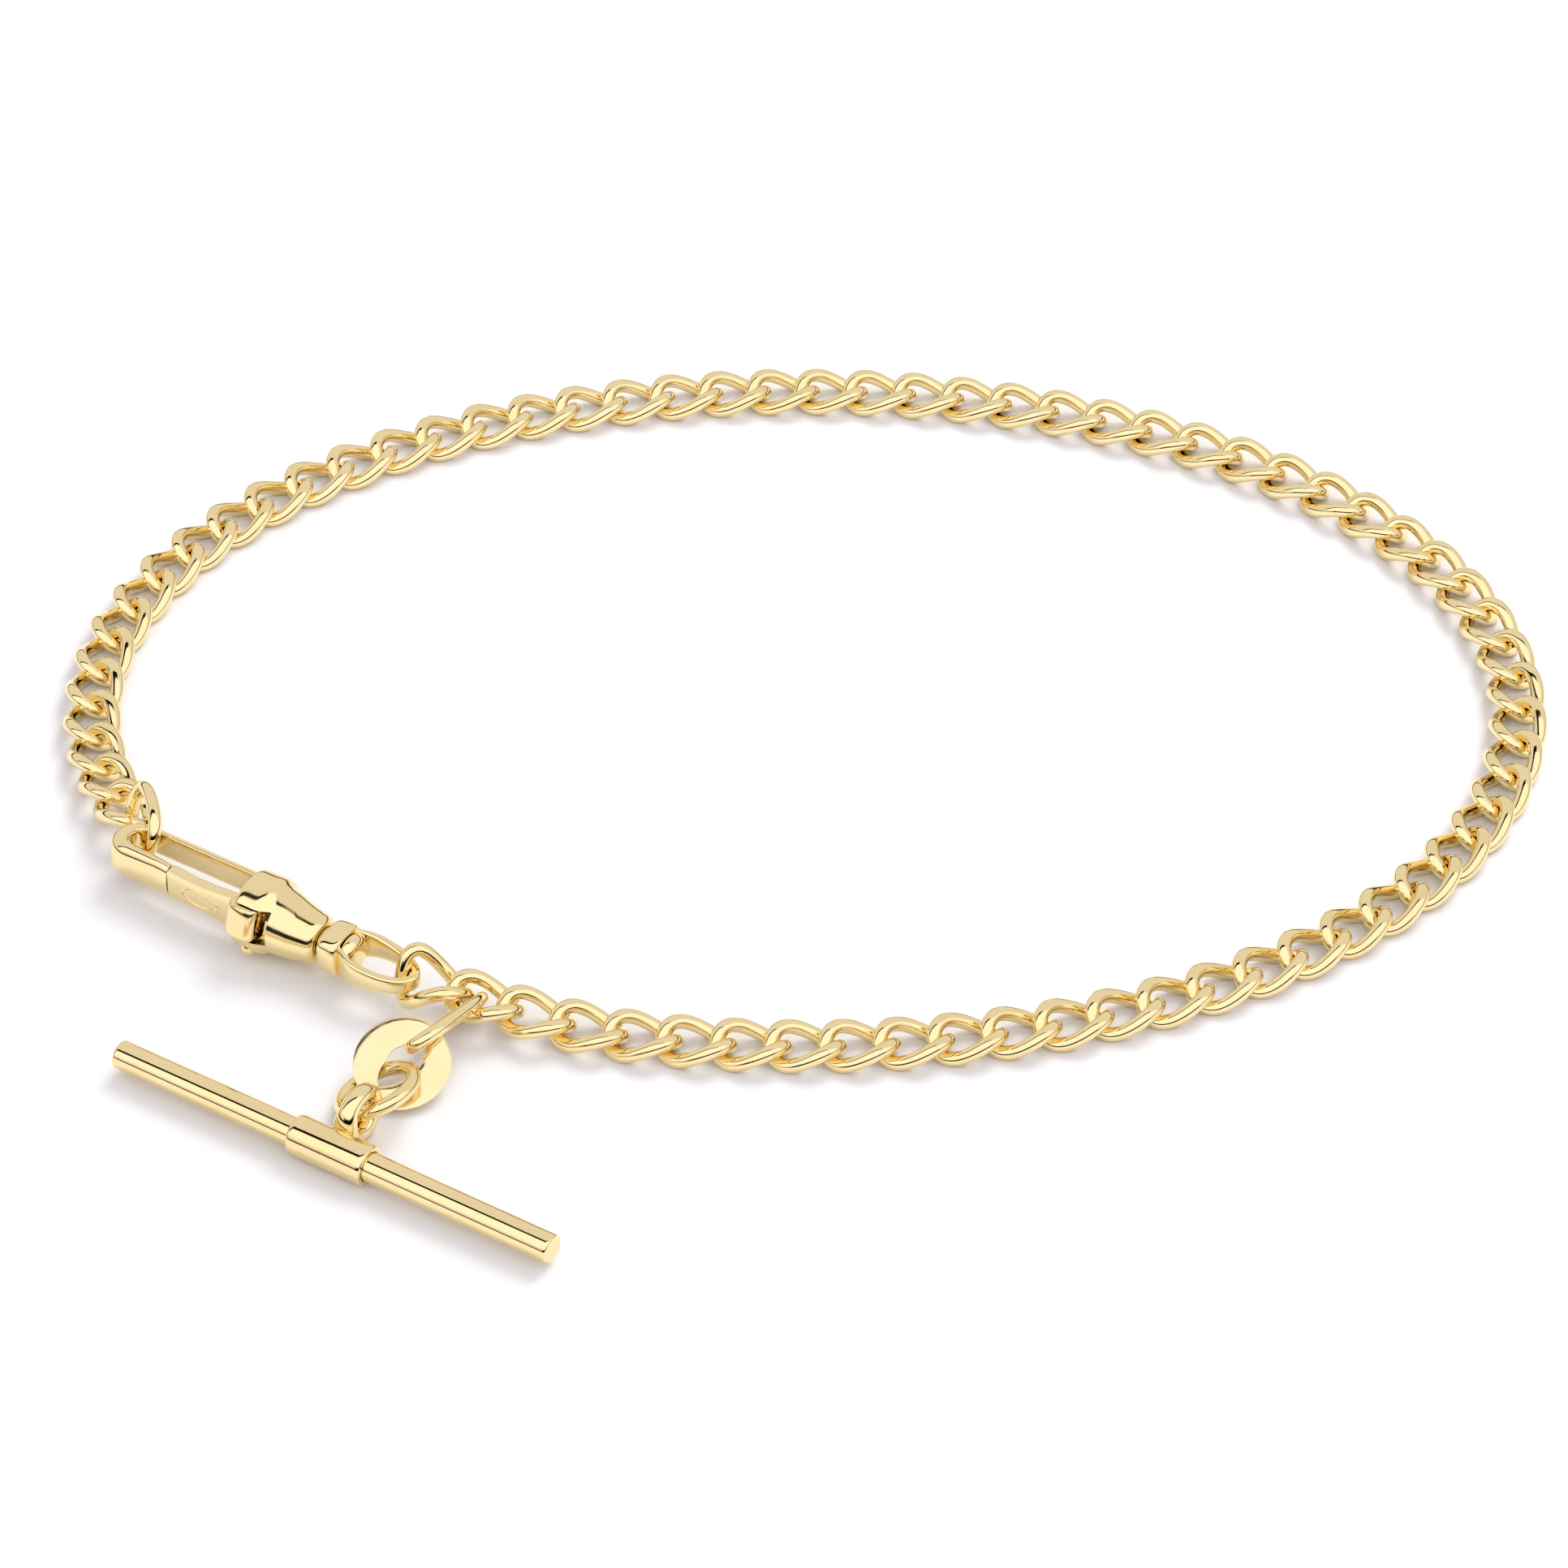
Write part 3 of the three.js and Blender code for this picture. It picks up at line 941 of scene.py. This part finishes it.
    def build(self) -> None:
        """Makes the clip's pieces and dresses the two CAD pieces that stay."""
        self.barrel()
        self.hook()
        self.gate()
        self.rivet()
        self.swivel_rivet()
        staying = (
            ("gate_spring", Slot.STEEL, SPRING_STEEL),
            ("swivel_washer", Slot.MATT, TURNED_GOLD),
        )
        for node, slot, finish in staying:
            mesh = frame["nodes"][node].data
            mesh.materials.clear()
            mesh.materials.append(finish.material())
            log.info("%s keeps its CAD shape and its slot, %s", node, slot.value)


@dataclass
class SwivelEye:
    """The eye that the first link goes through: a domed collar and a tapering strap."""

    clip: SwivelClip
    start: float = 5.18
    collar_end: float = 6.55
    end: float = 11.6
    half_width: float = 1.72
    wall: float = 0.62
    centre_x: float = 8.1
    collar_half: Point2 = (1.44, 1.34)

    def outline(self, inset: float, count: int) -> list[Point2]:
        """The strap's loop, inset by part of its wall.

        Args:
            inset: how far inside the outer line.
            count: how many points to give.

        Returns:
            The points, from the collar's near side round to its far side.
        """
        half, end, start = self.half_width - inset, self.end - inset, self.start + 0.55 + inset * 0.3
        line = []
        for k in range(61):
            t = math.pi * (k / 60 - 0.5) * 1.96
            c, s = math.cos(t), math.sin(t)
            reach = (end - self.centre_x) if c > 0 else (self.centre_x - start)
            pinch = 1.0 if c > 0 else 1.0 - 0.26 * abs(c) ** 1.5
            x = self.centre_x + reach * math.copysign(abs(c) ** 0.92, c)
            line.append((x, half * s * pinch))
        return resampled(line, count)

    def build(self) -> None:
        """Makes the eye in one piece."""
        count = 72
        outer, inner = self.outline(0.0, count), self.outline(self.wall, count)
        power = 3.2
        form = band(
            inner, outer, lambda s: 0.5 + 0.86 * (abs(s - 0.5) * 2) ** 1.8, lambda s: power, False
        )
        rings = []
        for turn in evenly(-math.pi / 2, math.pi / 2, 19):
            share = 0.5 + 0.5 * math.copysign(abs(math.sin(turn)) ** 0.6, turn)
            swell = 0.84 + 0.2 * abs(math.cos(turn)) ** 0.5 + 0.04 * share
            x = self.start + (self.collar_end - self.start) * share
            half_y, half_z = (size * swell for size in self.collar_half)
            rings.append([Vector((x, u, v)) for u, v in oval(half_y, half_z, power, 48)])
        form.with_(Form().skin(rings, False))
        made = form.solid("swivel_eye_shell", self.clip.place, POLISHED_GOLD)
        round_edges(made, 0.06, 2, 45.0)
        settle(made, "eye", Slot.POLISHED, "swivel_eye")


# ---- Rings and tag ----


@dataclass
class DropFittings:
    """The end ring, and the ring, tag and ring that the T-bar hangs from."""

    end_radius: float = 2.24
    end_wire: float = 0.42
    end_normal: Vector = field(default_factory=lambda: Vector((0.902, 0.283, -0.326)).normalized())
    drop_width: float = 2.6
    drop_length: float = 6.73
    drop_wire: float = 0.42
    drop_along: Vector = field(default_factory=lambda: Vector((3.43, 5.56, -1.6)).normalized())
    drop_lean: float = math.radians(41.4)
    tag_tilt: float = math.radians(30)
    tag_slant: float = math.pi / 4
    tag_thickness: float = 0.34
    tag_half: Point2 = (2.92, 2.8)
    tag_hole: Point2 = (1.9, 0.86)
    tag_edge: float = 0.09
    bar_ring_radius: float = 2.28
    bar_ring_wire: float = 0.45
    bar_ring_turn: tuple[float, float] = (math.radians(-14), math.radians(-22))

    def ring(self, name: str, path: list[Vector], wire: float, place: Matrix) -> bpy.types.Object:
        """A ring of round wire.

        Args:
            name: the piece's name.
            path: its centreline in its own xy plane.
            wire: the wire's radius.
            place: from its own frame to the row frame.

        Returns:
            The piece.
        """
        section = oval(wire, wire, 2.0, 20)
        form = Form().sweep(path, lambda i: Vector((0, 0, 1)), lambda i: section)
        return form.solid(name, place, POLISHED_GOLD, 60.0)

    def end_ring(self) -> None:
        """The ring at the chain's far end, pulled a little three-cornered, in the clip's hook."""
        turn = Vector((0, 0, 1)).rotation_difference(self.end_normal).to_matrix().to_4x4()
        path = ring_path(self.end_radius, 72, lambda t: 0.98 + 0.06 * math.cos(3 * (t - 0.4)))
        place = Matrix.Translation(middle_of("end_ring")) @ turn
        made = self.ring("end_ring_wire", path, self.end_wire, place)
        settle(made, "eye", Slot.POLISHED, "end_ring")

    def drop_ring(self) -> None:
        """The long ring between the second link and the tag, leaning over from upright."""
        half, straight = self.drop_width / 2, (self.drop_length - self.drop_width) / 2
        path = []
        for turn in evenly(0.0, 2 * math.pi, 81)[:-1]:
            c, s = math.cos(turn), math.sin(turn)
            path.append(Vector((half * c + straight * math.copysign(abs(c) ** 0.6, c), half * s, 0)))
        across = Vector((-self.drop_along.y, self.drop_along.x, 0)).normalized()
        across.rotate(Matrix.Rotation(self.drop_lean, 3, self.drop_along))
        up = self.drop_along.cross(across)
        axes = Matrix((self.drop_along, up, -across)).transposed().to_4x4()
        place = Matrix.Translation(middle_of("drop_ring")) @ axes
        made = self.ring("drop_ring_wire", path, self.drop_wire, place)
        settle(made, "drop_ring", Slot.POLISHED, "drop_ring")

    def bar_ring(self) -> None:
        """The round ring between the tag and the T-bar's bail."""
        about_x, about_y = self.bar_ring_turn
        turn = Matrix.Rotation(about_x, 4, "X") @ Matrix.Rotation(about_y, 4, "Y")
        place = Matrix.Translation(middle_of("bar_ring")) @ turn
        path = ring_path(self.bar_ring_radius, 72)
        made = self.ring("bar_ring_wire", path, self.bar_ring_wire, place)
        settle(made, "bar_ring", Slot.POLISHED, "bar_ring")

    def tag(self) -> None:
        """The oval tag: a stamped plate, dished at one side, with an eye-shaped opening."""
        around, across = 112, 9
        half_thick = self.tag_thickness / 2
        rings = []
        for i in range(around):
            turn = 2 * math.pi * i / around
            c, s = math.cos(turn), math.sin(turn)
            rough = 0.05 * math.sin(5 * turn + 0.6) + 0.03 * math.sin(9 * turn)
            pointed = math.copysign(abs(s) ** 1.35, s)
            inner = Vector((self.tag_hole[0] * c + rough, (self.tag_hole[1] + rough) * pointed, 0))
            outer = Vector((self.tag_half[0] * c, self.tag_half[1] * s, 0))
            ring = []
            for side in (1, -1):
                shares = evenly(0.0, 1.0, across)
                for share in shares if side > 0 else reversed(shares):
                    edge = min(share, 1 - share) * (outer - inner).length
                    drop = max(0.0, 1 - edge / self.tag_edge) ** 2 * 0.45
                    point = inner.lerp(outer, share)
                    point.z = side * half_thick * (1 - drop)
                    ring.append(point)
            rings.append(ring)
        form = Form().skin(rings, True)
        slant = Matrix.Rotation(self.tag_slant, 4, "Z")

        def dished(p: Vector) -> Vector:
            """Sinks the plate's right half a little."""
            sink = 0.16 * max(0.0, p.x) ** 2 / 8.0
            return Vector((p.x, p.y, p.z - sink))

        form.moved(slant).bent(dished)
        place = Matrix.Translation(middle_of("oval_tag")) @ Matrix.Rotation(self.tag_tilt, 4, "X")
        made = form.solid("tag_plate", place, FILED_GOLD, 50.0)
        settle(made, "tag", Slot.POLISHED, "oval_tag")

    def build(self) -> None:
        """Makes the three rings and the tag."""
        self.end_ring()
        self.drop_ring()
        self.tag()
        self.bar_ring()


# ---- T-bar ----


@dataclass
class TBar:
    """The T-bar: a rod, a sleeve fixed at its middle and a bail on the sleeve."""

    length: float = 30.4
    radius: float = 0.89
    angle: float = math.radians(-32.1)
    sleeve_length: float = 5.2
    sleeve_radius: float = 1.23
    sleeve_bore: float = 0.93
    bail_reach: float = 2.72
    bail_height: float = 1.88
    bail_radius: float = 1.38
    bail_wire: float = 0.5

    def __post_init__(self) -> None:
        """Finds the bar's own frame from its rod."""
        self.place = Matrix.Translation(middle_of("t_bar_rod")) @ Matrix.Rotation(self.angle, 4, "Z")

    def rod(self) -> None:
        """The plain rod, with softened ends."""
        half, r = self.length / 2, self.radius
        soft = 0.24
        profile = rounded([(-half, 0.0, 0), (-half, r, soft), (half, r, soft), (half, 0.0, 0)], 8)
        made = Form().lathe(profile, 72).solid("t_bar_rod_turned", self.place, POLISHED_GOLD, 30.0)
        settle(made, "t_bar", Slot.POLISHED, "t_bar_rod")

    def sleeve(self) -> None:
        """The sleeve, with round shoulders and a fine gap round the rod."""
        half, r = self.sleeve_length / 2, self.sleeve_radius
        corners = [
            (-half, self.sleeve_bore, 0.03),
            (-half, r, 0.34),
            (half, r, 0.34),
            (half, self.sleeve_bore, 0.03),
        ]
        line = rounded(corners, 8, True)
        turned = Form().lathe([*line, line[0]], 72)
        made = turned.solid("t_bar_sleeve_turned", self.place, POLISHED_GOLD, 40.0)
        settle(made, "t_bar", Slot.POLISHED, "t_bar_sleeve")

    def bail(self) -> None:
        """The bail: a thick loop that flares where it stands on the sleeve."""
        steps = 64
        centre = Vector((0.0, self.bail_reach, self.bail_height - self.sleeve_radius))
        path = []
        for k in range(steps):
            turn = 2 * math.pi * k / steps
            path.append(centre + Vector((0, math.cos(turn), math.sin(turn))) * self.bail_radius)

        def section(i: int) -> list[Point2]:
            """Wider along the bar near the sleeve."""
            near = max(0.0, 1 - (path[i].length - 1.3) / 1.2)
            return oval(self.bail_wire, self.bail_wire * (1.12 + 0.5 * near), 2.3, 20)

        form = Form().sweep(path, lambda i: Vector((1, 0, 0)), section)
        made = form.solid("t_bar_bail_loop", self.place, POLISHED_GOLD, 60.0)
        settle(made, "t_bar", Slot.POLISHED, "t_bar_bail")

    def build(self) -> None:
        """Makes the bar's three pieces."""
        self.rod()
        self.sleeve()
        self.bail()


# ---- Studio ----


@dataclass
class Studio:
    """A white table under a white light tent with dark gaps, and the camera."""

    look_at: Vector = field(default_factory=lambda: Vector((-1.32, 0.07, 0.83)))
    camera_at: Vector = field(default_factory=lambda: Vector((-1.32, -296.7, 257.4)))
    lens: float = 146.85
    sensor: float = 36.0
    floor_half: float = 900.0
    table: Colour = (0.90, 0.90, 0.925)
    table_deeper: Colour = (0.885, 0.885, 0.91)
    bright_cloth: Colour = (1.22, 1.21, 1.26)
    dim_cloth: Colour = (0.84, 0.82, 0.84)
    gap: Colour = (0.006, 0.004, 0.002)
    seam: Colour = (0.05, 0.03, 0.015)
    gap_half_width: float = 0.1
    gap_slant: float = 0.061
    key_at: Vector = field(default_factory=lambda: Vector((260.0, 330.0, 520.0)))
    key_size: float = 420.0
    key_watts: float = 2.3

    def camera(self) -> None:
        """The camera."""
        data = bpy.data.cameras.new("camera")
        data.lens = self.lens
        data.sensor_width = self.sensor
        data.clip_start, data.clip_end = 10 * MM, 5000 * MM
        made = bpy.data.objects.new("camera", data)
        made.location = self.camera_at * MM
        made.rotation_euler = (self.look_at - self.camera_at).to_track_quat("-Z", "Y").to_euler()
        bpy.context.scene.collection.objects.link(made)
        bpy.context.scene.camera = made

    def floor(self) -> None:
        """The plain table."""
        half = self.floor_half * MM
        mesh = bpy.data.meshes.new("table_top")
        corners = [(-half, -half, 0), (half, -half, 0), (half, half, 0), (-half, half, 0)]
        mesh.from_pydata(corners, [], [(0, 1, 2, 3)])
        paint = bpy.data.materials.new("white_table")
        paint.use_nodes = True
        graph = Graph(paint.node_tree)
        place = graph.add("ShaderNodeTexCoord", {}, {}).outputs["Object"]
        drift = graph.noise(place, 6.0).ramp(0.3, 0.7)
        colour = graph.blend(drift, self.table, self.table_deeper)
        shader = graph.add("ShaderNodeBsdfPrincipled", {}, {"Base Color": colour, "Roughness": 0.7})
        graph.add("ShaderNodeOutputMaterial", {}, {"Surface": shader.outputs[0]})
        mesh.materials.append(paint)
        made = bpy.data.objects.new("table_top", mesh)
        bpy.context.scene.collection.objects.link(made)

    def tent_light(self) -> None:
        """The tent: bright cloth in front, dimmer cloth at the back, and dark gaps between them."""
        world = bpy.data.worlds.new("tent")
        world.use_nodes = True
        bpy.context.scene.world = world
        graph = Graph(world.node_tree)
        towards = graph.add("ShaderNodeTexCoord", {}, {}).outputs["Generated"]
        parts = graph.add("ShaderNodeSeparateXYZ", {}, {0: towards}).outputs
        x, y, z = (Varying(graph, part) for part in parts)
        front = (self.gap_slant * z - y).ramp(-0.05, 0.1) * z.ramp(0.15, 0.5)
        cloth = graph.blend(front, self.dim_cloth, self.bright_cloth)
        width = self.gap_half_width
        across = 1 - abs(y - self.gap_slant * z).ramp(width * 0.75, width)
        overhead = across * z.ramp(0.3, 0.5) * (1 - x.ramp(0.1, 0.3))
        window = (1 - z.ramp(0.24, 0.34)) * (-1 * y).ramp(0.55, 0.75)
        seam = 1 - z.ramp(0.09, 0.16)
        colour = graph.blend(seam, cloth, self.seam)
        colour = graph.blend(overhead.larger(window), colour, self.gap)
        light = graph.add("ShaderNodeBackground", {}, {"Color": colour, "Strength": 1.0})
        graph.add("ShaderNodeOutputWorld", {}, {"Surface": light.outputs[0]})

    def key(self) -> None:
        """The main soft light, high at the back on the right."""
        data = bpy.data.lights.new("key", "AREA")
        data.shape = "DISK"
        data.size = self.key_size * MM
        data.energy = self.key_watts
        data.color = (1.0, 0.98, 0.93)
        made = bpy.data.objects.new("key", data)
        made.location = self.key_at * MM
        made.rotation_euler = (-self.key_at).to_track_quat("-Z", "Y").to_euler()
        made.visible_glossy = False
        bpy.context.scene.collection.objects.link(made)

    def build(self) -> None:
        """Sets up the camera, table and lights."""
        self.camera()
        self.floor()
        self.tent_light()
        self.key()
        bpy.context.scene.view_settings.view_transform = "Standard"
        bpy.context.scene.view_settings.look = "None"


def main() -> None:
    """Builds every sub-assembly in order."""
    logging.basicConfig(level=logging.INFO, format="%(message)s")
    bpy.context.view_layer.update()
    Studio().build()
    CurbChain().build()
    clip = SwivelClip()
    clip.build()
    SwivelEye(clip).build()
    DropFittings().build()
    TBar().build()


if __name__ == "__main__":
    main()
